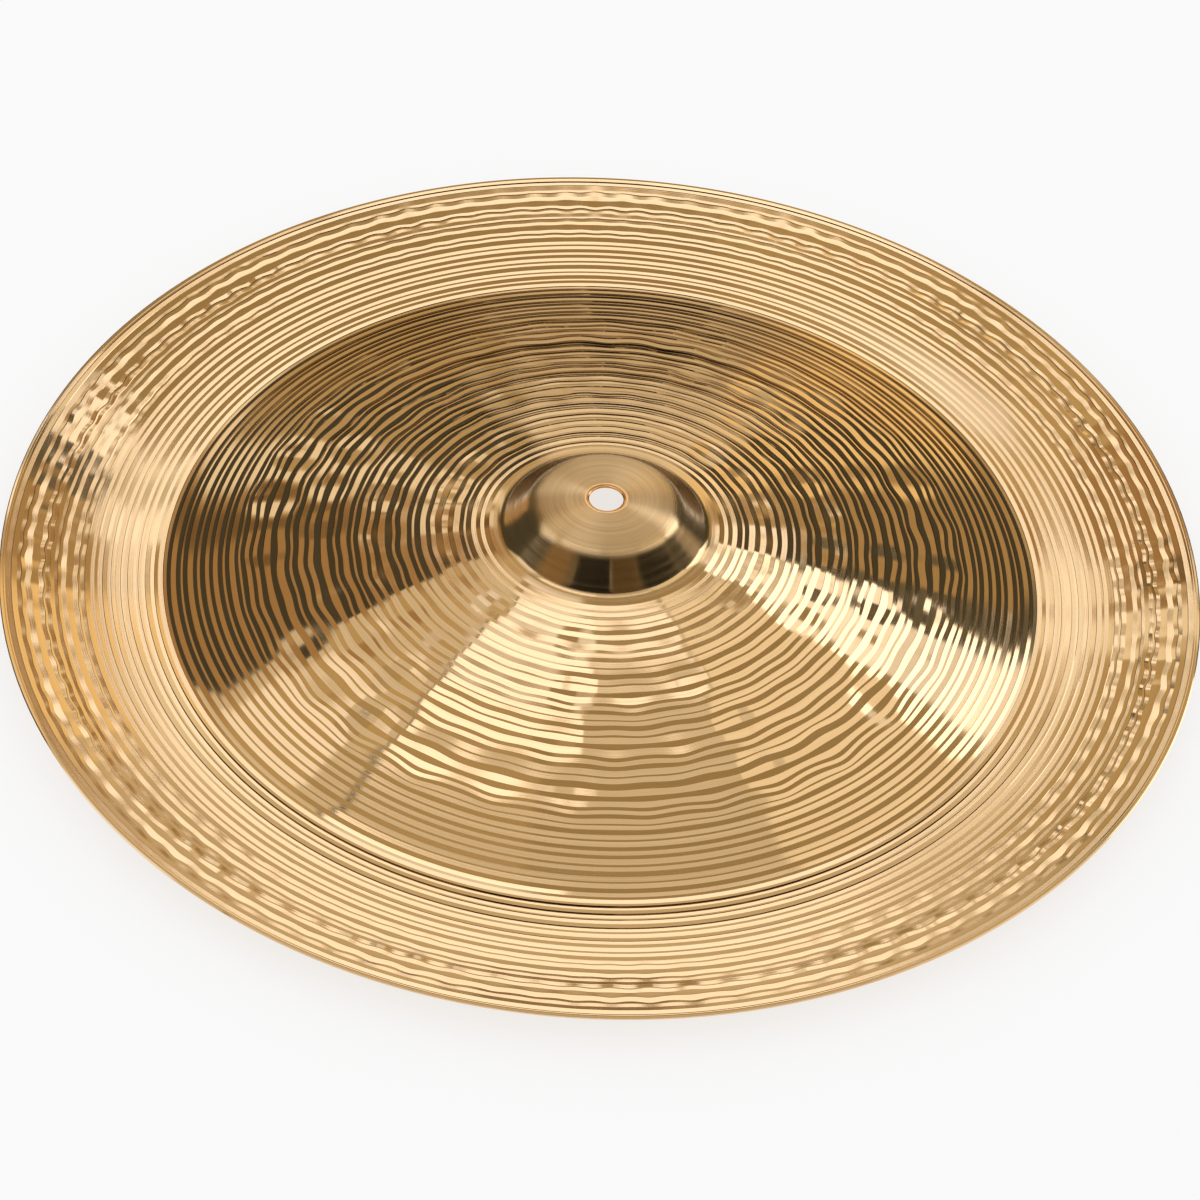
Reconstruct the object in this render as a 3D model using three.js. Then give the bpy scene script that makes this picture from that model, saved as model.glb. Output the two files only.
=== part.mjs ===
// China cymbal, 18 inches across. It is one sheet of bronze: pressed to shape, hammered, lathed and drilled.
// Millimetres, +Z up, bell upwards. The origin is on the axis, in the plane that the cymbal stands on.

import * as THREE from "three";

// The sheet
const DIAMETER = 457.2;
const HOLE_DIAMETER = 13;
const BELL_THICKNESS = 1.3;
const EDGE_THICKNESS = 1.0;
const HOLE_EDGE = { width: 1.1, depth: 0.45 };
const RIM_BEVEL = 0.4;
const STANDING_FLAT = 0.05;

// The upper face from the hole to the rim. Each stretch bends evenly, as an arc, from the slope it starts with
// to the slope in degrees that it has at its outer radius. A stretch that keeps its slope is straight.
const OUTLINE = {
  seat: { outerRadius: 12, slope: 0 },
  crown: { outerRadius: 29.2, slope: -21 },
  shoulder: { outerRadius: 31.6, slope: -50 },
  bellSide: { outerRadius: 37.2, slope: -50 },
  bellFoot: { outerRadius: 40.5, slope: -5.3 },
  smoothLand: { outerRadius: 43.5, slope: -5.3 },
  bow: { outerRadius: 160, slope: -13.6 },
  valley: { outerRadius: 172, slope: 1.5 },
  flange: { outerRadius: 204.6, slope: 15 },
  brim: { outerRadius: DIAMETER / 2, slope: 17.9 },
};

// Rings of hammer marks, pressed down into the upper face and through to the lower one.
// A mark is a round hollow: its spread is how far from its middle it is steepest.
const BOW_MARKS = [
  { radius: 61, marks: 22, spread: 3.6, depth: 0.3 },
  { radius: 85, marks: 27, spread: 4.0, depth: 0.35 },
  { radius: 107, marks: 30, spread: 4.5, depth: 0.4 },
  { radius: 128.5, marks: 31, spread: 4.8, depth: 0.45 },
];
const BRIM_MARKS = [
  { radius: 203, marks: 92, spread: 2.6, depth: 0.16 },
  { radius: 215.5, marks: 92, spread: 3.0, depth: 0.25 },
];
const HAMMER_RINGS = [...BOW_MARKS, ...BRIM_MARKS];
const ANGLE_SCATTER = 0.1;
const RADIUS_SCATTER = 0.7;

// Points round a ring
const HOLE_POINTS = 32;
const BELL_POINTS = 48;
const BOW_POINTS_PER_MARK = 4;
const RIM_POINTS = 92;

const degrees = THREE.MathUtils.degToRad;
const fullTurn = 2 * Math.PI;

// Gives every stretch its start, its bend and the height that it starts at.
function joinStretches() {
  let radius = HOLE_DIAMETER / 2;
  let slope = 0;
  let height = 0;
  for (const stretch of Object.values(OUTLINE)) {
    const end = degrees(stretch.slope);
    const bend = Math.sin(end) - Math.sin(slope);
    const width = stretch.outerRadius - radius;
    Object.assign(stretch, { innerRadius: radius, start: slope, height, bendRadius: bend === 0 ? Infinity : width / bend });
    height = heightIn(stretch, stretch.outerRadius);
    slope = end;
    radius = stretch.outerRadius;
  }
}

function slopeIn(stretch, radius) {
  return Math.asin(Math.sin(stretch.start) + (radius - stretch.innerRadius) / stretch.bendRadius);
}

function heightIn(stretch, radius) {
  if (stretch.bendRadius === Infinity) {
    return stretch.height + Math.tan(stretch.start) * (radius - stretch.innerRadius);
  }
  return stretch.height + stretch.bendRadius * (Math.cos(stretch.start) - Math.cos(slopeIn(stretch, radius)));
}

function stretchAt(radius) {
  const stretches = Object.values(OUTLINE);
  return stretches.find((stretch) => radius <= stretch.outerRadius) ?? stretches.at(-1);
}

function thicknessAt(radius) {
  const fromBell = (radius - OUTLINE.smoothLand.outerRadius) / (DIAMETER / 2 - OUTLINE.smoothLand.outerRadius);
  return THREE.MathUtils.lerp(BELL_THICKNESS, EDGE_THICKNESS, THREE.MathUtils.clamp(fromBell, 0, 1));
}

// Marks struck by hand: evenly spaced round the ring, but never quite.
function markPlaces(ring) {
  return Array.from({ length: ring.marks }, (_, index) => ({
    angle: (fullTurn * (index + ANGLE_SCATTER * Math.sin(7.3 * index + ring.radius))) / ring.marks,
    radius: ring.radius + RADIUS_SCATTER * Math.sin(4.1 * index + ring.radius),
  }));
}

// How far the hammer pressed the sheet down at one place.
function pressedAt(radius, angle) {
  let depth = 0;
  for (const ring of HAMMER_RINGS) {
    if (Math.abs(radius - ring.radius) > 4 * ring.spread) {
      continue;
    }
    for (const mark of ring.places) {
      const along = 2 * radius * Math.sin((angle - mark.angle) / 2);
      const across = radius - mark.radius;
      depth += ring.depth * Math.exp(-(along * along + across * across) / (2 * ring.spread * ring.spread));
    }
  }
  return depth;
}

// A ring is its radius on the upper face and the angles of its points.
function evenRing(radius, points) {
  return { radius, angles: Array.from({ length: points }, (_, index) => (fullTurn * index) / points) };
}

function evenRings(radii, points) {
  return radii.map((radius) => evenRing(radius, points));
}

// A ring with a point on each mark of a hammer ring and more, evenly, from one mark to the next.
function markedRing(radius, hammerRing, pointsPerMark) {
  const angles = [];
  hammerRing.places.forEach(({ angle }, index) => {
    const next = hammerRing.places[index + 1]?.angle ?? hammerRing.places[0].angle + fullTurn;
    for (let point = 0; point < pointsPerMark; point += 1) {
      angles.push(angle + ((next - angle) * point) / pointsPerMark);
    }
  });
  return { radius, angles };
}

// Radii that divide a stretch into equal steps, its outer radius last.
function across({ innerRadius, outerRadius }, steps) {
  return Array.from({ length: steps }, (_, step) => innerRadius + ((outerRadius - innerRadius) * (step + 1)) / steps);
}

function bellRings(curveSteps) {
  const { seat, crown, shoulder, bellSide, bellFoot, smoothLand } = OUTLINE;
  const bell = [
    ...across(crown, curveSteps),
    ...across(shoulder, curveSteps),
    bellSide.outerRadius,
    ...across(bellFoot, curveSteps),
    smoothLand.outerRadius,
  ];
  return [evenRing(seat.outerRadius, HOLE_POINTS), ...evenRings(bell, BELL_POINTS)];
}

// The hammered bow: each ring of marks gets a ring through its middle, one on each side of it
// where the marks are steepest, and a quiet one between it and the next.
function bowRings(withFlanks) {
  const rings = [];
  BOW_MARKS.forEach((ring, index) => {
    const next = BOW_MARKS[index + 1]?.radius ?? ring.radius + 22;
    const flanks = withFlanks ? [-1.2 * ring.spread, 1.2 * ring.spread] : [];
    for (const offset of [0, ...flanks].sort((a, b) => a - b)) {
      rings.push(markedRing(ring.radius + offset, ring, BOW_POINTS_PER_MARK));
    }
    rings.push(markedRing((ring.radius + next) / 2, ring, BOW_POINTS_PER_MARK / 2));
  });
  return rings;
}

function upperRings() {
  const { bow, valley, flange } = OUTLINE;
  const brim = BRIM_MARKS.flatMap((ring) => [
    evenRing(ring.radius - 1.5 * ring.spread, RIM_POINTS),
    markedRing(ring.radius, ring, 2),
    evenRing(ring.radius + 1.5 * ring.spread, RIM_POINTS),
  ]);
  return [
    evenRing(HOLE_DIAMETER / 2 + HOLE_EDGE.width, HOLE_POINTS),
    ...bellRings(3),
    ...bowRings(true),
    ...evenRings([150, bow.outerRadius, ...across(valley, 3), 180, 189], RIM_POINTS),
    ...brim,
    evenRing(DIAMETER / 2 - RIM_BEVEL, RIM_POINTS),
  ];
}

function lowerRings() {
  const { bow } = OUTLINE;
  return [
    evenRing(HOLE_DIAMETER / 2 + HOLE_EDGE.width, HOLE_POINTS),
    ...bellRings(2),
    ...bowRings(false),
    ...evenRings([150, bow.outerRadius, 165, 169.2, 172.4, 180, 189], RIM_POINTS),
    ...evenRings([203, 215.5, DIAMETER / 2 - RIM_BEVEL], RIM_POINTS),
  ];
}

// Height of the plane that the cymbal stands on, below the crown: the valley's lower face at its lowest.
function standingHeight() {
  const { valley } = OUTLINE;
  const lowest = valley.innerRadius - Math.sin(valley.start) * valley.bendRadius;
  return heightIn(valley, lowest) - thicknessAt(lowest) + STANDING_FLAT;
}

function upperPoint(radius, angle, standing) {
  const height = heightIn(stretchAt(radius), radius) - pressedAt(radius, angle) - standing;
  return [radius * Math.cos(angle), radius * Math.sin(angle), height];
}

// A point one thickness below the upper face, square to it.
function lowerPoint(radius, angle, standing) {
  const stretch = stretchAt(radius);
  const slope = slopeIn(stretch, radius);
  const thickness = thicknessAt(radius);
  const reach = radius + thickness * Math.sin(slope);
  const height = heightIn(stretch, radius) - thickness * Math.cos(slope) - pressedAt(radius, angle) - standing;
  return [reach * Math.cos(angle), reach * Math.sin(angle), Math.max(height, 0)];
}

// A ring of points at one radius and height, for the hole's wall and the rim.
function plainRing(radius, height, points) {
  const { angles } = evenRing(radius, points);
  return { angles, points: angles.map((angle) => [radius * Math.cos(angle), radius * Math.sin(angle), height]) };
}

// All the rings in order round the section: out over the upper face, round the rim, back under and up the hole.
function sectionLoop() {
  const standing = standingHeight();
  const place = (ring, toPoint) => ({
    angles: ring.angles,
    points: ring.angles.map((angle) => toPoint(ring.radius, angle, standing)),
  });
  const rimRadius = DIAMETER / 2;
  const rimHeight = heightIn(OUTLINE.brim, rimRadius) - EDGE_THICKNESS / 2 - standing;
  const holeRadius = HOLE_DIAMETER / 2;
  return [
    ...upperRings().map((ring) => place(ring, upperPoint)),
    plainRing(rimRadius, rimHeight, RIM_POINTS),
    ...lowerRings().reverse().map((ring) => place(ring, lowerPoint)),
    plainRing(holeRadius, HOLE_EDGE.depth - BELL_THICKNESS - standing, HOLE_POINTS),
    plainRing(holeRadius, -HOLE_EDGE.depth - standing, HOLE_POINTS),
  ];
}

// Joins two neighbouring rings, whatever their numbers of points, by always taking the nearer next angle.
function stitch(inner, outer, triangles) {
  const counts = [inner.angles.length, outer.angles.length];
  const angleOf = (ring, index) => ring.angles[index % ring.angles.length] + fullTurn * Math.floor(index / ring.angles.length);
  let [a, b] = [0, 0];
  while (a < counts[0] || b < counts[1]) {
    const here = [inner.first + (a % counts[0]), outer.first + (b % counts[1])];
    const stepOuter = a === counts[0] || (b < counts[1] && angleOf(outer, b + 1) < angleOf(inner, a + 1));
    if (stepOuter) {
      b += 1;
      triangles.push(here[0], here[1], outer.first + (b % counts[1]));
    } else {
      a += 1;
      triangles.push(here[0], here[1], inner.first + (a % counts[0]));
    }
  }
}

function makeSheet() {
  joinStretches();
  for (const ring of HAMMER_RINGS) {
    ring.places = markPlaces(ring);
  }
  const loop = sectionLoop();
  const positions = [];
  for (const ring of loop) {
    ring.first = positions.length / 3;
    positions.push(...ring.points.flat());
  }
  const triangles = [];
  loop.forEach((ring, index) => stitch(ring, loop[(index + 1) % loop.length], triangles));
  const geometry = new THREE.BufferGeometry();
  geometry.setAttribute("position", new THREE.Float32BufferAttribute(positions, 3));
  geometry.setIndex(triangles);
  geometry.computeVertexNormals();
  return geometry;
}

const bronze = new THREE.MeshStandardMaterial({ color: 0xc8935a, roughness: 0.3, metalness: 1 });
const cymbal = new THREE.Mesh(makeSheet(), bronze);
cymbal.name = "cymbal";

const group = new THREE.Group();
group.add(cymbal);
export default group;
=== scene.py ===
"""China cymbal, 18 inches: one lathed and hammered sheet of bronze on the pale floor of a photo studio.

The sheet is drawn as a half section, spun round the axis, divided more finely where most of the hammer's
marks lie, and then pressed by them. Metres throughout, +Z up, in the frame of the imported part.
"""

from math import cos, pi, radians, sin, tan
from typing import NamedTuple

import bmesh
import bpy
import numpy as np
from mathutils import Matrix, Vector


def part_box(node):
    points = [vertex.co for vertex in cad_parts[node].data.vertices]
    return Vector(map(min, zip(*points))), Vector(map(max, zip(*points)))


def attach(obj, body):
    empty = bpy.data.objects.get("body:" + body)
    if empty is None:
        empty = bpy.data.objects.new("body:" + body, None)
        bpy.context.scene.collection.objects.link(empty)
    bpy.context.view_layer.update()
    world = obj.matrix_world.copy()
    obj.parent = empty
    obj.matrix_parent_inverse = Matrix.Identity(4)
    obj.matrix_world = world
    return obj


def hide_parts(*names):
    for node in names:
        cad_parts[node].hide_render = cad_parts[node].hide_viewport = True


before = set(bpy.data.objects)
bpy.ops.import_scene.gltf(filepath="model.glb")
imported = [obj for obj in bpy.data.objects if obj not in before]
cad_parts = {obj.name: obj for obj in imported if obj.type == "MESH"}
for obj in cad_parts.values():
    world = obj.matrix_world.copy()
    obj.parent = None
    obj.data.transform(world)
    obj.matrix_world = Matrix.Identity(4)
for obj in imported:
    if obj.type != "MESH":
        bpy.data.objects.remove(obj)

bl_info = {
    "name": "China Cymbal",
    "version": (1, 0, 0),
    "blender": (4, 5, 0),
    "location": "View3D > Sidebar > Cymbal",
    "description": "Models a lathed and hammered china cymbal and sets it in a small photo studio",
    "category": "Add Mesh",
}

MM = 0.001
NODE = "cymbal"
PIECE = "bronze_sheet"
RIM_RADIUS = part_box(NODE)[1].x
CROWN_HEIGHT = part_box(NODE)[1].z


# The half section of the upper face

class Stretch(NamedTuple):
    """A part of the half section that bends evenly, from the slope before it to its own.

    Its steps are the rings across it on the upper face. A stretch with grooves has rings from the grooves.
    """

    outer_radius: float
    slope: float
    steps: int = 0


OUTLINE = {
    "seat": Stretch(12 * MM, radians(0), 3),
    "crown": Stretch(24.5 * MM, radians(-13.5), 7),
    "shoulder": Stretch(30 * MM, radians(-43.11), 8),
    "bell_side": Stretch(38 * MM, radians(-43.11), 3),
    "bell_foot": Stretch(41.2 * MM, radians(-5.3), 9),
    "smooth_land": Stretch(43.5 * MM, radians(-5.3), 2),
    "bow": Stretch(160 * MM, radians(-13.6)),
    "valley": Stretch(172 * MM, radians(1.5)),
    "flange": Stretch(204.6 * MM, radians(15)),
    "brim": Stretch(RIM_RADIUS, radians(17.9)),
}
BELL_END = OUTLINE["smooth_land"].outer_radius


class HammerRing(NamedTuple):
    """A ring of hammer marks: round hollows, steepest one spread from their middles.

    The lathe's lines are pushed aside round each mark by up to the sway.
    """

    radius: float
    marks: int
    spread: float
    depth: float
    sway: float


HAMMER_RINGS = (
    HammerRing(61 * MM, 22, 4.0 * MM, 0.20 * MM, 0.9 * MM),
    HammerRing(85 * MM, 27, 4.5 * MM, 0.23 * MM, 1.2 * MM),
    HammerRing(107 * MM, 30, 5.0 * MM, 0.28 * MM, 1.5 * MM),
    HammerRing(128.5 * MM, 31, 5.4 * MM, 0.33 * MM, 1.9 * MM),
    HammerRing(203 * MM, 100, 2.6 * MM, 0.05 * MM, 0.6 * MM),
    HammerRing(215.5 * MM, 100, 2.8 * MM, 0.10 * MM, 1.3 * MM),
)
MARK_REACH = 4
ANGLE_SCATTER = 0.1
RADIUS_SCATTER = 0.7 * MM
BLOW_SCATTER = 0.35
ANGLE_WAVE = 7.3
RADIUS_WAVE = 4.1
BLOW_WAVE = 5.3


class Outline:
    """Heights and slopes of the upper face, from the hole's edge to the rim."""

    def __init__(self, hole_radius):
        rows = []
        radius, slope, height = hole_radius, 0.0, 0.0
        for stretch in OUTLINE.values():
            width = stretch.outer_radius - radius
            rise = sin(stretch.slope) - sin(slope)
            bend = width / rise if rise else np.inf
            rows.append((radius, stretch.outer_radius, slope, height, bend))
            height += bend * (cos(slope) - cos(stretch.slope)) if rise else tan(slope) * width
            radius, slope = stretch.outer_radius, stretch.slope
        self.inner, self.outer, self.start, self.base, self.bend = np.array(rows).T

    def slopes(self, radius):
        at = np.minimum(np.searchsorted(self.outer, radius), len(self.outer) - 1)
        return np.arcsin(np.sin(self.start[at]) + (radius - self.inner[at]) / self.bend[at])

    def heights(self, radius):
        """Heights above the crown, so nearly all below zero."""
        at = np.minimum(np.searchsorted(self.outer, radius), len(self.outer) - 1)
        straight = np.isinf(self.bend[at])
        bend = np.where(straight, 1.0, self.bend[at])
        arc = bend * (np.cos(self.start[at]) - np.cos(self.slopes(radius)))
        line = np.tan(self.start[at]) * (radius - self.inner[at])
        return self.base[at] + np.where(straight, line, arc)


# Sizes and finishes that a user may change

def length(name, description, default):
    return bpy.props.FloatProperty(
        name=name, description=description, default=default, min=0.0, unit="LENGTH", precision=5
    )


def colour(name, description, default):
    return bpy.props.FloatVectorProperty(
        name=name, description=description, default=default, min=0.0, max=1.0, subtype="COLOR"
    )


def share(name, description, default, most=1.0):
    return bpy.props.FloatProperty(
        name=name, description=description, default=default, min=0.0, max=most
    )


class SheetSizes(bpy.types.PropertyGroup):
    """Sizes of the bronze sheet"""

    hole_diameter: length("Hole", "Diameter of the mounting hole", 13 * MM)
    hole_edge: length("Hole edge", "Width of the rounded edge round the hole", 1.7 * MM)
    bell_thickness: length("Bell thickness", "Thickness of the sheet at the bell", 1.3 * MM)
    rim_thickness: length("Rim thickness", "Thickness of the sheet at the rim", 1.0 * MM)
    land_width: length("Land", "Width of the land between two cuts of the lathe", 1.4 * MM)
    cut_width: length("Cut", "Width of the facet that the lathe's tool cuts", 1.6 * MM)


class BronzeFinish(bpy.types.PropertyGroup):
    """Colours and polish of the bronze"""

    lathed: colour("Lathed bronze", "Colour of the lathed bow and flange", (0.86, 0.61, 0.36))
    dull: colour("Duller bronze", "Colour of the lathed bronze where it is duller", (0.80, 0.55, 0.31))
    brushed: colour("Brushed bell", "Colour of the brushed bell", (0.87, 0.62, 0.36))
    scratched: colour("Scratches", "Colour in the scratches of the brushed bell", (0.50, 0.31, 0.13))
    copper: colour("Hole edge", "Colour of the bare edge of the hole", (0.86, 0.42, 0.13))
    lathed_roughness: share("Lathed roughness", "Roughness of the lathed bronze", 0.085)
    crown_roughness: share("Crown roughness", "Roughness of the brushed crown", 0.32)
    side_roughness: share("Side roughness", "Roughness of the bell's brushed side", 0.13)


class StudioSettings(bpy.types.PropertyGroup):
    """Camera, floor and light of the studio"""

    floor: colour("Floor", "Colour of the floor", (0.94, 0.94, 0.94))
    focal_length: bpy.props.FloatProperty(
        name="Focal length", description="Focal length of the lens", default=93.87,
        subtype="DISTANCE_CAMERA",
    )
    tilt: bpy.props.FloatProperty(
        name="Tilt", description="How far the camera looks down", default=radians(44.82),
        subtype="ANGLE",
    )
    roll: bpy.props.FloatProperty(
        name="Roll", description="How far the camera leans to its left", default=radians(3.85),
        subtype="ANGLE",
    )
    eye: bpy.props.FloatVectorProperty(
        name="Eye", description="Place of the camera", default=(0.0002, -0.8671, 0.8425),
        subtype="TRANSLATION", unit="LENGTH",
    )
    fill: share("Fill", "Strength of the even light on the floor", 0.9, 3.0)


# The section's stations

class Station(NamedTuple):
    """One ring of the sheet. It lies below its face by its drop, and is a sharp line or a smooth one."""

    face: str
    radius: float
    drop: float = 0.0
    sharp: bool = False
    finish: str = "lathed"


FACES = ("upper", "lower", "edge")
FINISHES = ("lathed", "brushed", "copper")
HOLE_ARC_STEPS = 8
HOLE_EDGE_SHARE = 0.42
RIM_BEVEL = 0.4 * MM
RIM_WALL_SHARES = (0.3, 0.7)
GROOVES_END = 226.3 * MM
LAND_SCATTER = 0.5
LAND_WAVE = 2.6
CUT_SCATTER = 0.15
CUT_WAVE = 3.7
RIDGE_WIDTH = 0.18 * MM
FLANGE_START = 166 * MM
BOW_TILTS = (radians(3), radians(13))
FLANGE_LAND_TILT = radians(7)
FLANGE_LAND_SLOPE = radians(13)
FLANGE_CUT_SLOPE = radians(4.2)
FLANGE_CUT_TILTS = (radians(-6), radians(13))
WIDE_LAND = 2.2 * MM
COARSE_BAND = (61 * MM, 130 * MM)
COARSER = 1.2
EDGE_LINES = (
    (0.0, 0.10 * MM),
    (0.5 * MM, 0.0),
    (0.8 * MM, 0.07 * MM),
    (1.2 * MM, 0.0),
)


def bell_stations(face, first_radius):
    stations = [Station(face, first_radius, finish="brushed")]
    radius = first_radius
    for name in ("seat", "crown", "shoulder", "bell_side", "bell_foot", "smooth_land"):
        stretch = OUTLINE[name]
        finish = "lathed" if name == "smooth_land" else "brushed"
        steps = stretch.steps if face == "upper" else (stretch.steps + 1) // 2
        for step in range(1, steps + 1):
            at = radius + (stretch.outer_radius - radius) * step / steps
            stations.append(Station(face, at, finish=finish))
        radius = stretch.outer_radius
    return stations


def lathe_cuts(sizes):
    """Radius and width of each cut, and width of the land after it. Each hammer ring has a wide land."""
    radius = BELL_END + sizes.land_width / 3
    for stop in [*(ring.radius for ring in HAMMER_RINGS), GROOVES_END + WIDE_LAND / 2]:
        span = stop - WIDE_LAND / 2 - radius
        coarser = COARSER if COARSE_BAND[0] < stop < COARSE_BAND[1] else 1.0
        pitch = coarser * (sizes.cut_width + sizes.land_width + RIDGE_WIDTH)
        count = round((span + coarser * sizes.land_width) / pitch)
        cuts = [sizes.cut_width * (1 + CUT_SCATTER * sin(CUT_WAVE * cut + 1)) for cut in range(count)]
        lands = [sizes.land_width * (1 + LAND_SCATTER * sin(LAND_WAVE * land)) for land in range(count - 1)]
        fit = (span - RIDGE_WIDTH * (count - 1)) / (sum(cuts) + sum(lands))
        for cut, land in zip(cuts, [*(fit * land for land in lands), WIDE_LAND - RIDGE_WIDTH]):
            yield radius, fit * cut, land
            radius += fit * cut + land + RIDGE_WIDTH


def groove_tilts(radius, outline):
    """How far a land and a cut lean from the sheet's own slope."""
    if radius < FLANGE_START:
        return BOW_TILTS
    slope = float(outline.slopes(np.array(radius)))
    least, most = FLANGE_CUT_TILTS
    land_tilt = max(FLANGE_LAND_TILT, FLANGE_LAND_SLOPE - slope)
    return land_tilt, min(max(slope - FLANGE_CUT_SLOPE, least), most)


def groove_stations(face, sizes):
    """The lathe's cuts: a facet falls outwards from each sharp crest, and a land rises towards the next.

    On the upper face the land stops at a narrow ridge that carries the next crest.
    """
    outline = Outline(sizes.hole_diameter / 2)
    stations = []
    for radius, cut, land in lathe_cuts(sizes):
        land_tilt, cut_tilt = groove_tilts(radius, outline)
        foot = cut * tan(cut_tilt)
        stations.append(Station(face, radius, 0.0, True))
        stations.append(Station(face, radius + cut, foot, True))
        if face == "upper":
            stations.append(Station(face, radius + cut + land, foot - land * tan(land_tilt), True))
    return stations


def edge_band_stations(face):
    """The last two millimetres before the rim: two thin lines and a flat band."""
    stations = [Station(face, GROOVES_END + out, drop, True) for out, drop in EDGE_LINES]
    return [*stations, Station(face, RIM_RADIUS - RIM_BEVEL, 0.0, True)]


def face_stations(face, sizes):
    first_radius = sizes.hole_diameter / 2 + sizes.hole_edge
    return bell_stations(face, first_radius) + groove_stations(face, sizes) + edge_band_stations(face)


def rim_stations(sizes):
    return [Station("edge", RIM_RADIUS, part * sizes.rim_thickness, True) for part in RIM_WALL_SHARES]


def hole_stations(sizes):
    """The hole's wall from the lower face up to the upper one, with both its edges rounded."""
    depth = HOLE_EDGE_SHARE * sizes.bell_thickness
    rounding = []
    for step in range(HOLE_ARC_STEPS):
        turn = 0.5 * pi * step / HOLE_ARC_STEPS
        radius = sizes.hole_diameter / 2 + sizes.hole_edge * (1 - cos(turn))
        rounding.append((radius, depth * (1 - sin(turn))))
    below = [(radius, sizes.bell_thickness - drop) for radius, drop in reversed(rounding)]
    return [Station("edge", radius, drop, finish="copper") for radius, drop in below + rounding]


def section_stations(sizes):
    """All stations in order: out over the upper face, round the rim, back under, and up the hole."""
    upper = face_stations("upper", sizes)
    lower = face_stations("lower", sizes)
    return upper + rim_stations(sizes) + lower[::-1] + hole_stations(sizes)


# The hammer's work

def mark_places(ring):
    """Angles, radii and weights of a ring's marks, struck by hand and so never quite even."""
    index = np.arange(ring.marks)
    nominal = ring.radius / MM
    angles = 2 * pi * (index + ANGLE_SCATTER * np.sin(ANGLE_WAVE * index + nominal)) / ring.marks
    radii = ring.radius + RADIUS_SCATTER * np.sin(RADIUS_WAVE * index + nominal)
    weights = 1 + BLOW_SCATTER * np.sin(BLOW_WAVE * index + nominal)
    return angles, radii, weights


def hammered(radius, angle):
    """How far the marks press the sheet down, and how far they push the lathe's lines aside."""
    press = np.zeros_like(radius)
    sway = np.zeros_like(radius)
    for ring in HAMMER_RINGS:
        angles, radii, weights = mark_places(ring)
        near = np.flatnonzero(np.abs(radius - ring.radius) < MARK_REACH * ring.spread)
        nearest = np.round(angle[near] * ring.marks / (2 * pi)).astype(int)
        for neighbour in (-1, 0, 1):
            mark = (nearest + neighbour) % ring.marks
            along = 2 * radius[near] * np.sin((angle[near] - angles[mark]) / 2)
            across = radius[near] - radii[mark]
            hollow = weights[mark] * np.exp(-(along**2 + across**2) / (2 * ring.spread**2))
            press[near] += ring.depth * hollow
            sway[near] += ring.sway * across / ring.spread * hollow
    return press, sway


class Sheet:
    """Where every point of the bronze sheet lies, by its station's number and its angle."""

    def __init__(self, sizes):
        self.sizes = sizes
        self.outline = Outline(sizes.hole_diameter / 2)
        self.stations = section_stations(sizes)
        self.face = np.array([FACES.index(station.face) for station in self.stations])
        self.radius = np.array([station.radius for station in self.stations])
        self.drop = np.array([station.drop for station in self.stations])

    def thickness(self, radius):
        outwards = np.clip((radius - BELL_END) / (RIM_RADIUS - BELL_END), 0, 1)
        bell, rim = self.sizes.bell_thickness, self.sizes.rim_thickness
        return bell + (rim - bell) * outwards

    def place(self, number, angle):
        """Radius and height of each point."""
        nominal, drop = self.radius[number], self.drop[number]
        press, sway = hammered(nominal, angle)
        radius = np.minimum(nominal + sway, RIM_RADIUS)
        surface = CROWN_HEIGHT + self.outline.heights(radius) - press
        slope = self.outline.slopes(radius)
        thick = self.thickness(radius)
        upper = surface - drop
        lower = np.maximum(surface - thick * np.cos(slope) + drop, 0)
        edge = CROWN_HEIGHT + np.where(nominal < BELL_END, 0, self.outline.heights(radius)) - drop
        height = np.choose(self.face[number], [upper, lower, edge])
        reach = np.choose(self.face[number], [radius, radius + thick * np.sin(slope), nominal])
        return np.minimum(reach, RIM_RADIUS), height


# Modelling the sheet

SPIN_STEPS = 192
START_SIZE = 1 * MM
DOUBLES = 0.0005 * MM
BOW_BAND = (75 * MM, 141 * MM)
BRIM_BAND = (196 * MM, RIM_RADIUS)
CLOSER_BANDS = ((BOW_BAND, 1), (BRIM_BAND, 3))


def deselect_all():
    if bpy.context.object and bpy.context.object.mode == "EDIT":
        bpy.ops.object.mode_set(mode="OBJECT")
    bpy.ops.object.select_all(action="DESELECT")


def read_values(mesh, name):
    values = np.zeros(len(mesh.vertices), np.float32)
    mesh.attributes[name].data.foreach_get("value", values)
    return values


def write_values(mesh, name, values):
    attribute = mesh.attributes.get(name) or mesh.attributes.new(name, "FLOAT", "POINT")
    attribute.data.foreach_set("value", np.asarray(values, np.float32))


def read_points(mesh):
    points = np.zeros(3 * len(mesh.vertices))
    mesh.vertices.foreach_get("co", points)
    return points.reshape(-1, 3)


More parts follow.
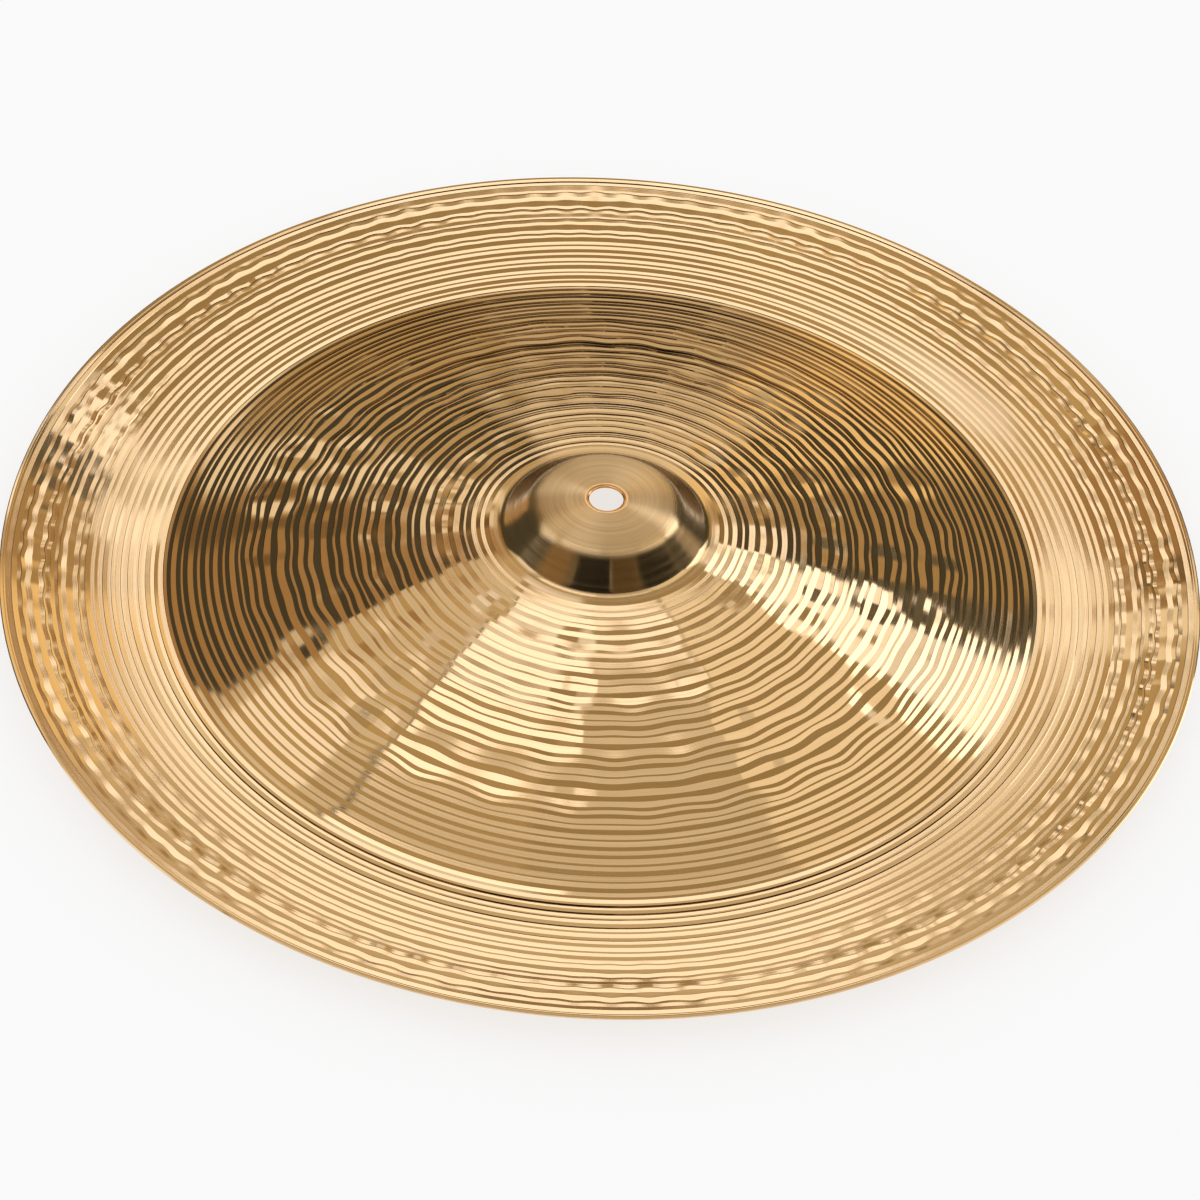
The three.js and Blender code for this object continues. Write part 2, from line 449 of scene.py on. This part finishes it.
def draw_section(sheet):
    """One vertex, extruded from station to station and closed to a loop."""
    numbers = np.arange(len(sheet.stations))
    points = [Vector((r, 0, h)) for r, h in zip(*sheet.place(numbers, 0.0 * numbers))]
    bpy.ops.mesh.primitive_plane_add(size=START_SIZE, location=points[0])
    piece = bpy.context.object
    piece.name = PIECE
    piece.data.name = PIECE
    bpy.ops.object.transform_apply(location=True)
    bpy.ops.object.mode_set(mode="EDIT")
    bpy.ops.mesh.select_all(action="SELECT")
    bpy.ops.mesh.merge(type="CENTER")
    for here, there in zip(points, points[1:]):
        bpy.ops.mesh.extrude_region_move(TRANSFORM_OT_translate={"value": there - here})
    work = bmesh.from_edit_mesh(piece.data)
    ends = [vertex for vertex in work.verts if len(vertex.link_edges) == 1]
    for vertex in work.verts:
        vertex.select_set(vertex in ends)
    bpy.ops.mesh.edge_face_add()
    bpy.ops.object.mode_set(mode="OBJECT")
    gaps = read_points(piece.data)[:, None] - np.array(points)[None]
    write_values(piece.data, "station", np.argmin(np.linalg.norm(gaps, axis=2), axis=1))
    return piece


def spin_section():
    bpy.ops.object.mode_set(mode="EDIT")
    bpy.ops.mesh.select_all(action="SELECT")
    bpy.ops.mesh.spin(steps=SPIN_STEPS, angle=2 * pi, center=(0, 0, 0), axis=(0, 0, 1))
    bpy.ops.mesh.select_all(action="SELECT")
    bpy.ops.mesh.remove_doubles(threshold=DOUBLES)
    bpy.ops.mesh.normals_make_consistent(inside=False)
    bpy.ops.object.mode_set(mode="OBJECT")


def divide_band(piece, sheet, band, cuts):
    """Adds points round the rings of the upper face between two radii."""
    bpy.ops.object.mode_set(mode="EDIT")
    bpy.ops.mesh.select_mode(type="EDGE")
    bpy.ops.mesh.select_all(action="DESELECT")
    work = bmesh.from_edit_mesh(piece.data)
    station = work.verts.layers.float["station"]
    upper = FACES.index("upper")
    for edge in work.edges:
        first, second = (round(vertex[station]) for vertex in edge.verts)
        on_band = sheet.face[first] == upper and band[0] <= sheet.radius[first] <= band[1]
        edge.select_set(first == second and bool(on_band))
    bmesh.update_edit_mesh(piece.data)
    bpy.ops.mesh.subdivide(number_cuts=cuts)
    bpy.ops.mesh.select_mode(type="VERT")
    bpy.ops.object.mode_set(mode="OBJECT")


def press_points(piece, sheet):
    """Puts every point where the lathe and the hammer leave it."""
    number = np.round(read_values(piece.data, "station")).astype(int)
    points = read_points(piece.data)
    angle = np.arctan2(points[:, 1], points[:, 0])
    reach, height = sheet.place(number, angle)
    placed = np.stack([reach * np.cos(angle), reach * np.sin(angle), height], axis=1)
    piece.data.vertices.foreach_set("co", placed.astype(np.float32).ravel())
    write_values(piece.data, "lathe_line", sheet.radius[number])
    piece.data.update()


def crease_lines(piece, sheet):
    """Keeps the crests and feet of the grooves sharp, and all else smooth."""
    mesh = piece.data
    mesh.shade_smooth()
    number = np.round(read_values(mesh, "station")).astype(int)
    ends = np.zeros(2 * len(mesh.edges), np.int32)
    mesh.edges.foreach_get("vertices", ends)
    ends = number[ends.reshape(-1, 2)]
    sharp_station = np.array([station.sharp for station in sheet.stations])
    sharp = (ends[:, 0] == ends[:, 1]) & sharp_station[ends[:, 0]]
    mesh.attributes.new("sharp_edge", "BOOLEAN", "EDGE").data.foreach_set("value", sharp)


def choose_finishes(piece, sheet):
    """Gives each face the finish of the station that it starts from."""
    mesh = piece.data
    number = np.round(read_values(mesh, "station")).astype(int)
    finish = np.array([FINISHES.index(station.finish) for station in sheet.stations])
    corners = np.zeros(len(mesh.loops), np.int32)
    mesh.loops.foreach_get("vertex_index", corners)
    starts = np.zeros(len(mesh.polygons), np.int32)
    mesh.polygons.foreach_get("loop_start", starts)
    by_corner = finish[number[corners]]
    chosen = np.maximum.reduceat(by_corner, starts)
    mesh.polygons.foreach_set("material_index", chosen.astype(np.int32))


class CYMBAL_OT_make_sheet(bpy.types.Operator):
    """Model the lathed and hammered bronze sheet"""

    bl_idname = "cymbal.make_sheet"
    bl_label = "Make Sheet"

    def execute(self, context):
        deselect_all()
        sheet = Sheet(context.scene.sheet_sizes)
        piece = draw_section(sheet)
        spin_section()
        for band, cuts in CLOSER_BANDS:
            divide_band(piece, sheet, band, cuts)
        press_points(piece, sheet)
        crease_lines(piece, sheet)
        for finish in FINISHES:
            piece.data.materials.append(bpy.data.materials.new(f"{finish}_bronze"))
        choose_finishes(piece, sheet)
        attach(piece, "root")
        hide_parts(NODE)
        return {"FINISHED"}


# Finishes

NOISE_REACH = 0.25


class NodeSheet:
    """Builds a node tree: each call adds a node, sets it and links its inputs."""

    def __init__(self, tree):
        self.tree = tree
        tree.nodes.clear()

    def add(self, kind, inputs=None, **settings):
        node = self.tree.nodes.new(kind)
        for name, value in settings.items():
            setattr(node, name, value)
        for name, value in (inputs or {}).items():
            if isinstance(value, bpy.types.NodeSocket):
                self.tree.links.new(value, node.inputs[name])
            else:
                node.inputs[name].default_value = value
        return node

    def math(self, operation, first, second=0.0):
        return self.add("ShaderNodeMath", {0: first, 1: second}, operation=operation).outputs[0]

    def mix_colours(self, factor, first, second):
        node = self.add("ShaderNodeMix", {0: factor, 6: first, 7: second}, data_type="RGBA")
        return node.outputs[2]


def rgba(value):
    return (*value, 1.0)


def lathe_lines(nodes, width, detail=2.0):
    """Noise that changes only across the lathe's lines."""
    line = nodes.add("ShaderNodeAttribute", attribute_name="lathe_line")
    noise = nodes.add(
        "ShaderNodeTexNoise",
        {"W": line.outputs["Fac"], "Scale": 1 / width, "Detail": detail, "Roughness": 0.6},
        noise_dimensions="1D",
    )
    return noise.outputs["Fac"]


def brush_strokes(nodes, width, stroke):
    """Noise drawn out round the axis: scratches of some width, fading along their stroke."""
    place = nodes.add("ShaderNodeTexCoord").outputs["Object"]
    line = nodes.add("ShaderNodeAttribute", attribute_name="lathe_line").outputs["Fac"]
    flat = nodes.add("ShaderNodeVectorMath", {0: place, 1: (1, 1, 0)}, operation="MULTIPLY")
    unit = nodes.add("ShaderNodeVectorMath", {0: flat.outputs[0]}, operation="NORMALIZE")
    turned = nodes.add(
        "ShaderNodeVectorMath", {0: unit.outputs[0], "Scale": 1 / stroke}, operation="SCALE"
    )
    across = nodes.add("ShaderNodeCombineXYZ", {"Z": nodes.math("DIVIDE", line, width)})
    where = nodes.add(
        "ShaderNodeVectorMath", {0: turned.outputs[0], 1: across.outputs[0]}, operation="ADD"
    )
    noise = nodes.add(
        "ShaderNodeTexNoise",
        {"Vector": where.outputs[0], "Scale": 1.0, "Detail": 2.0},
        noise_dimensions="3D",
    )
    return noise.outputs["Fac"]


def metal(nodes, base, roughness, grain, bump_height, anisotropy):
    """A metal whose polish is stretched across its round tool lines."""
    bump = nodes.add("ShaderNodeBump", {"Height": grain, "Distance": bump_height, "Strength": 1.0})
    tangent = nodes.add("ShaderNodeTangent", direction_type="RADIAL", axis="Z")
    shader = nodes.add(
        "ShaderNodeBsdfPrincipled",
        {
            "Base Color": base,
            "Metallic": 1.0,
            "Roughness": roughness,
            "Anisotropic": anisotropy,
            "Anisotropic Rotation": 0.25,
            "Normal": bump.outputs["Normal"],
            "Tangent": tangent.outputs["Tangent"],
        },
    )
    nodes.add("ShaderNodeOutputMaterial", {"Surface": shader.outputs["BSDF"]})


def spread_round(nodes, factor, middle, reach):
    """Turns noise about one half into values about the middle, up to the reach either way."""
    centred = nodes.math("SUBTRACT", factor, 0.5)
    return nodes.math("ADD", nodes.math("MULTIPLY", centred, reach / NOISE_REACH), middle)


def dress_lathed(material, finish):
    nodes = NodeSheet(material.node_tree)
    bands = lathe_lines(nodes, width=2.2 * MM)
    tone = nodes.math("ADD", bands, brush_strokes(nodes, width=5 * MM, stroke=0.8))
    factor = nodes.add(
        "ShaderNodeMapRange", {"Value": tone, "From Min": 0.7, "From Max": 1.3}
    ).outputs[0]
    base = nodes.mix_colours(factor, rgba(finish.lathed), rgba(finish.dull))
    grain = lathe_lines(nodes, width=0.55 * MM, detail=3.0)
    roughness = spread_round(nodes, grain, finish.lathed_roughness, reach=0.02)
    metal(nodes, base, roughness, grain, bump_height=0.006 * MM, anisotropy=0.9)


def dress_brushed(material, finish):
    nodes = NodeSheet(material.node_tree)
    scratches = brush_strokes(nodes, width=0.45 * MM, stroke=2.5)
    tone = nodes.math("ADD", brush_strokes(nodes, width=1.1 * MM, stroke=2.5), scratches)
    factor = nodes.add(
        "ShaderNodeMapRange", {"Value": tone, "From Min": 0.4, "From Max": 2.4}
    ).outputs[0]
    base = nodes.mix_colours(factor, rgba(finish.brushed), rgba(finish.scratched))
    line = nodes.add("ShaderNodeAttribute", attribute_name="lathe_line").outputs["Fac"]
    polish = nodes.add(
        "ShaderNodeMapRange",
        {
            "Value": line,
            "From Min": OUTLINE["crown"].outer_radius,
            "From Max": OUTLINE["shoulder"].outer_radius,
            "To Min": finish.crown_roughness,
            "To Max": finish.side_roughness,
        },
    ).outputs[0]
    roughness = spread_round(nodes, scratches, polish, reach=0.04)
    metal(nodes, base, roughness, scratches, bump_height=0.01 * MM, anisotropy=1.0)


def dress_copper(material, finish):
    nodes = NodeSheet(material.node_tree)
    scratches = brush_strokes(nodes, width=0.3 * MM, stroke=0.15)
    base = nodes.mix_colours(scratches, rgba(finish.copper), rgba(finish.dull))
    roughness = spread_round(nodes, scratches, middle=0.2, reach=0.05)
    metal(nodes, base, roughness, scratches, bump_height=0.02 * MM, anisotropy=0.4)


class CYMBAL_OT_dress_sheet(bpy.types.Operator):
    """Give the sheet its lathed, brushed and bare copper finishes"""

    bl_idname = "cymbal.dress_sheet"
    bl_label = "Dress Sheet"

    def execute(self, context):
        finish = context.scene.bronze_finish
        dressers = {"lathed": dress_lathed, "brushed": dress_brushed, "copper": dress_copper}
        for name, dress in dressers.items():
            material = bpy.data.materials[f"{name}_bronze"]
            material.use_nodes = True
            dress(material, finish)
        return {"FINISHED"}


# The studio

class Card(NamedTuple):
    """A curved card that only the metal sees, hung round the way that a flat cymbal mirrors the camera.

    Its clock angles go round that way, in degrees: 0 right, 90 down to the back, 180 left and 270 up.
    Its reach is measured away from that way, and its clock ends fade out over some degrees.
    """

    name: str
    clock: tuple
    reach: tuple
    tint: tuple
    strength: float
    fade: float = 0.0


FLOOR_SIZE = 12.0
FLOOR_GLOW = 0.7
ROOM_RADIUS = 2.6
CARD_DISTANCE = 2.5
CARD_SPACING = 0.01
CARD_DIVISION = 3.0
WHITE = (1.0, 1.0, 1.0)
CREAM = (1.0, 0.94, 0.78)
AMBER = (1.0, 0.88, 0.62)
GOLD = (1.0, 0.79, 0.42)
SAND = (1.0, 0.72, 0.34)
RUST = (1.0, 0.66, 0.30)
OLIVE = (1.0, 0.96, 0.70)
ROOM_STRENGTH = 0.07
FIRST_MIRRORING = 1.5
TWICE_MIRRORED = 0.35
CARDS = (
    Card("room_behind_camera", (0, 360), (88, 150), AMBER, 0.65),
    Card("right_shade", (-1, 48), (0, 28), SAND, 0.44, 6),
    Card("right_wall", (29, 90), (0, 29), GOLD, 1.00, 8),
    Card("left_wall", (92, 170), (0, 29), GOLD, 0.52, 4),
    Card("middle_wall", (62, 112), (0, 44), AMBER, 0.63, 10),
    Card("middle_wall_low", (50, 122), (7, 14), CREAM, 0.90, 10),
    Card("near_left_wall", (198, 228), (0, 31), GOLD, 0.56),
    Card("left_shade", (160, 213), (0, 30), RUST, 0.40, 6),
    Card("left_gap", (165, 177), (16, 30), RUST, 0.20, 3),
    Card("left_gleam", (148, 164), (0, 28), CREAM, 1.00, 3),
    Card("left_ceiling", (200, 231), (31, 63), CREAM, 0.74),
    Card("left_ceiling_back", (204, 224), (45, 63), WHITE, 1.15),
    Card("upper_wall", (228, 262), (0, 36), GOLD, 0.46),
    Card("upper_glow", (228, 268), (7, 15), WHITE, 0.95, 3),
    Card("upper_shade", (262, 336), (0, 36), GOLD, 0.37),
    Card("dim_ceiling", (232, 301), (36, 63), CREAM, 0.74),
    Card("ceiling", (301, 336), (33, 60), CREAM, 1.05),
    Card("ceiling_box", (232, 268), (36, 52), WHITE, 1.60),
    Card("ceiling_box_right", (268, 299), (36, 43), WHITE, 1.50),
    Card("right_box", (336, 364), (27, 54), WHITE, 2.10),
    Card("right_gleam", (336, 351), (0, 19), WHITE, 1.38),
    Card("right_gleam_end", (336, 351), (19, 27), WHITE, 0.95),
    Card("right_gap", (352, 363), (11, 28), OLIVE, 0.12, 3),
    Card("middle_glow", (0, 360), (0, 7.2), WHITE, 1.40),
    Card("right_glow", (354.3, 372), (7, 11.5), WHITE, 1.35),
    Card("right_glow_end", (338, 354.3), (4.6, 11.5), CREAM, 0.68),
    Card("left_glow", (176, 196), (7, 7.9), WHITE, 1.10, 2),
    Card("left_glow_end", (168, 183.4), (7, 12), CREAM, 0.95),
    Card("left_side", (130, 162), (52, 70), RUST, 0.50, 6),
    Card("left_low", (212, 246), (66, 112), RUST, 0.24, 8),
    Card("front_gap", (246, 278), (66, 122), OLIVE, 0.01),
    Card("front_low", (278, 305), (70, 116), RUST, 0.10, 3),
    Card("front_gap_right", (305, 336), (64, 112), OLIVE, 0.02),
    Card("right_low", (352, 380), (56, 72), AMBER, 0.32, 6),
)


def glow(name, tint, strength):
    """A light that is weaker where the metal mirrors it a second time, and clear where the card fades."""
    material = bpy.data.materials.new(name)
    material.use_nodes = True
    nodes = NodeSheet(material.node_tree)
    depth = nodes.add("ShaderNodeLightPath").outputs["Ray Depth"]
    shown = nodes.math("MAXIMUM", nodes.math("LESS_THAN", depth, FIRST_MIRRORING), TWICE_MIRRORED)
    emission = nodes.add(
        "ShaderNodeEmission", {"Color": rgba(tint), "Strength": nodes.math("MULTIPLY", shown, strength)}
    )
    clear = nodes.add("ShaderNodeBsdfTransparent")
    faded = nodes.add("ShaderNodeAttribute", attribute_name="faded").outputs["Fac"]
    both = nodes.add("ShaderNodeMixShader", {0: faded, 1: emission.outputs[0], 2: clear.outputs[0]})
    nodes.add("ShaderNodeOutputMaterial", {"Surface": both.outputs[0]})
    return material


def show_in_metal_only(piece):
    piece.visible_camera = False
    piece.visible_diffuse = False
    piece.visible_shadow = False


def close_room():
    """A dim round room about the cymbal, which the metal mirrors wherever no card hangs."""
    bpy.ops.mesh.primitive_uv_sphere_add(radius=ROOM_RADIUS)
    room = bpy.context.object
    room.name = "dim_room"
    room.data.materials.append(glow("dim_room_glow", OLIVE, ROOM_STRENGTH))
    show_in_metal_only(room)


def even_steps(ends):
    steps = max(1, round(abs(ends[1] - ends[0]) / CARD_DIVISION))
    return [ends[0] + (ends[1] - ends[0]) * step / steps for step in range(steps + 1)]


def hang_card(card, distance, mirror_way):
    """A grid laid on the card's part of a sphere."""
    right = Vector((1, 0, 0))
    down = Vector((0, mirror_way.z, -mirror_way.y)).normalized()
    clocks, reaches = even_steps(card.clock), even_steps(card.reach)
    bpy.ops.mesh.primitive_grid_add(x_subdivisions=len(clocks) - 1, y_subdivisions=len(reaches) - 1, size=2)
    piece = bpy.context.object
    piece.name = card.name
    faded = []
    for vertex in piece.data.vertices:
        clock = clocks[round((vertex.co.x + 1) / 2 * (len(clocks) - 1))]
        reach = radians(reaches[round((vertex.co.y + 1) / 2 * (len(reaches) - 1))])
        aside = right * cos(radians(clock)) + down * sin(radians(clock))
        vertex.co = distance * (mirror_way * cos(reach) + aside * sin(reach))
        to_end = min(clock - card.clock[0], card.clock[1] - clock)
        faded.append(max(0.0, 1 - to_end / card.fade) if card.fade else 0.0)
    write_values(piece.data, "faded", faded)
    piece.data.materials.append(glow(f"{card.name}_glow", card.tint, card.strength))
    show_in_metal_only(piece)


def lay_floor(settings):
    bpy.ops.mesh.primitive_plane_add(size=FLOOR_SIZE)
    floor = bpy.context.object
    floor.name = "floor"
    material = bpy.data.materials.new("pale_floor")
    material.use_nodes = True
    nodes = NodeSheet(material.node_tree)
    seen = direct_rays(nodes)
    paint = nodes.add(
        "ShaderNodeBsdfPrincipled",
        {"Base Color": rgba(settings.floor), "Roughness": 0.9, "Specular IOR Level": 0.0},
    )
    light = nodes.add("ShaderNodeEmission", {"Color": rgba(WHITE), "Strength": 1.0})
    both = nodes.add(
        "ShaderNodeMixShader",
        {0: nodes.math("MULTIPLY", seen, FLOOR_GLOW), 1: paint.outputs[0], 2: light.outputs[0]},
    )
    nodes.add("ShaderNodeOutputMaterial", {"Surface": both.outputs[0]})
    floor.data.materials.append(material)


def direct_rays(nodes):
    """One for what the camera sees, straight or in metal and glass, and zero for light on surfaces."""
    path = nodes.add("ShaderNodeLightPath")
    mirrored = nodes.math(
        "MAXIMUM", path.outputs["Is Glossy Ray"], path.outputs["Is Transmission Ray"]
    )
    return nodes.math("MAXIMUM", path.outputs["Is Camera Ray"], mirrored)


def light_world(settings):
    world = bpy.data.worlds.new("white_studio")
    bpy.context.scene.world = world
    world.use_nodes = True
    nodes = NodeSheet(world.node_tree)
    white = nodes.add("ShaderNodeBackground", {"Color": rgba(WHITE), "Strength": 1.0})
    fill = nodes.add("ShaderNodeBackground", {"Color": rgba(WHITE), "Strength": settings.fill})
    both = nodes.add(
        "ShaderNodeMixShader", {0: direct_rays(nodes), 1: fill.outputs[0], 2: white.outputs[0]}
    )
    nodes.add("ShaderNodeOutputWorld", {"Surface": both.outputs[0]})


class CYMBAL_OT_set_stage(bpy.types.Operator):
    """Lay the floor, light the room and hang the cards that the bronze mirrors"""

    bl_idname = "cymbal.set_stage"
    bl_label = "Set Stage"

    def execute(self, context):
        deselect_all()
        settings = context.scene.studio_settings
        lay_floor(settings)
        light_world(settings)
        close_room()
        mirror_way = (Vector(settings.eye) * Vector((-1, -1, 1))).normalized()
        for number, card in enumerate(CARDS):
            hang_card(card, CARD_DISTANCE - number * CARD_SPACING, mirror_way)
        context.scene.view_settings.view_transform = "Standard"
        return {"FINISHED"}


class CYMBAL_OT_place_camera(bpy.types.Operator):
    """Place the camera where it looks down on the cymbal from the front"""

    bl_idname = "cymbal.place_camera"
    bl_label = "Place Camera"

    def execute(self, context):
        settings = context.scene.studio_settings
        lens = bpy.data.cameras.new("camera")
        lens.lens = settings.focal_length
        camera = bpy.data.objects.new("camera", lens)
        context.scene.collection.objects.link(camera)
        turn = Matrix.Rotation(pi / 2 - settings.tilt, 4, "X") @ Matrix.Rotation(settings.roll, 4, "Z")
        camera.matrix_world = Matrix.Translation(settings.eye) @ turn
        context.scene.camera = camera
        return {"FINISHED"}


class CYMBAL_PT_panel(bpy.types.Panel):
    """The cymbal's steps and sizes in the sidebar"""

    bl_label = "China Cymbal"
    bl_idname = "CYMBAL_PT_panel"
    bl_space_type = "VIEW_3D"
    bl_region_type = "UI"
    bl_category = "Cymbal"

    def draw(self, context):
        layout = self.layout
        for operator in OPERATORS:
            layout.operator(operator.bl_idname)
        for name in SETTINGS:
            group = getattr(context.scene, name)
            box = layout.box()
            for setting in group.bl_rna.properties.keys():
                if setting not in ("rna_type", "name"):
                    box.prop(group, setting)


OPERATORS = (CYMBAL_OT_make_sheet, CYMBAL_OT_dress_sheet, CYMBAL_OT_set_stage, CYMBAL_OT_place_camera)
SETTINGS = {"sheet_sizes": SheetSizes, "bronze_finish": BronzeFinish, "studio_settings": StudioSettings}


def register():
    for kind in (*SETTINGS.values(), *OPERATORS, CYMBAL_PT_panel):
        bpy.utils.register_class(kind)
    for name, kind in SETTINGS.items():
        setattr(bpy.types.Scene, name, bpy.props.PointerProperty(type=kind))


def unregister():
    for name in SETTINGS:
        delattr(bpy.types.Scene, name)
    for kind in (CYMBAL_PT_panel, *OPERATORS[::-1], *SETTINGS.values()):
        bpy.utils.unregister_class(kind)


def main():
    register()
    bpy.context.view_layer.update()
    bpy.ops.cymbal.make_sheet()
    bpy.ops.cymbal.dress_sheet()
    bpy.ops.cymbal.set_stage()
    bpy.ops.cymbal.place_camera()


if __name__ == "__main__":
    main()
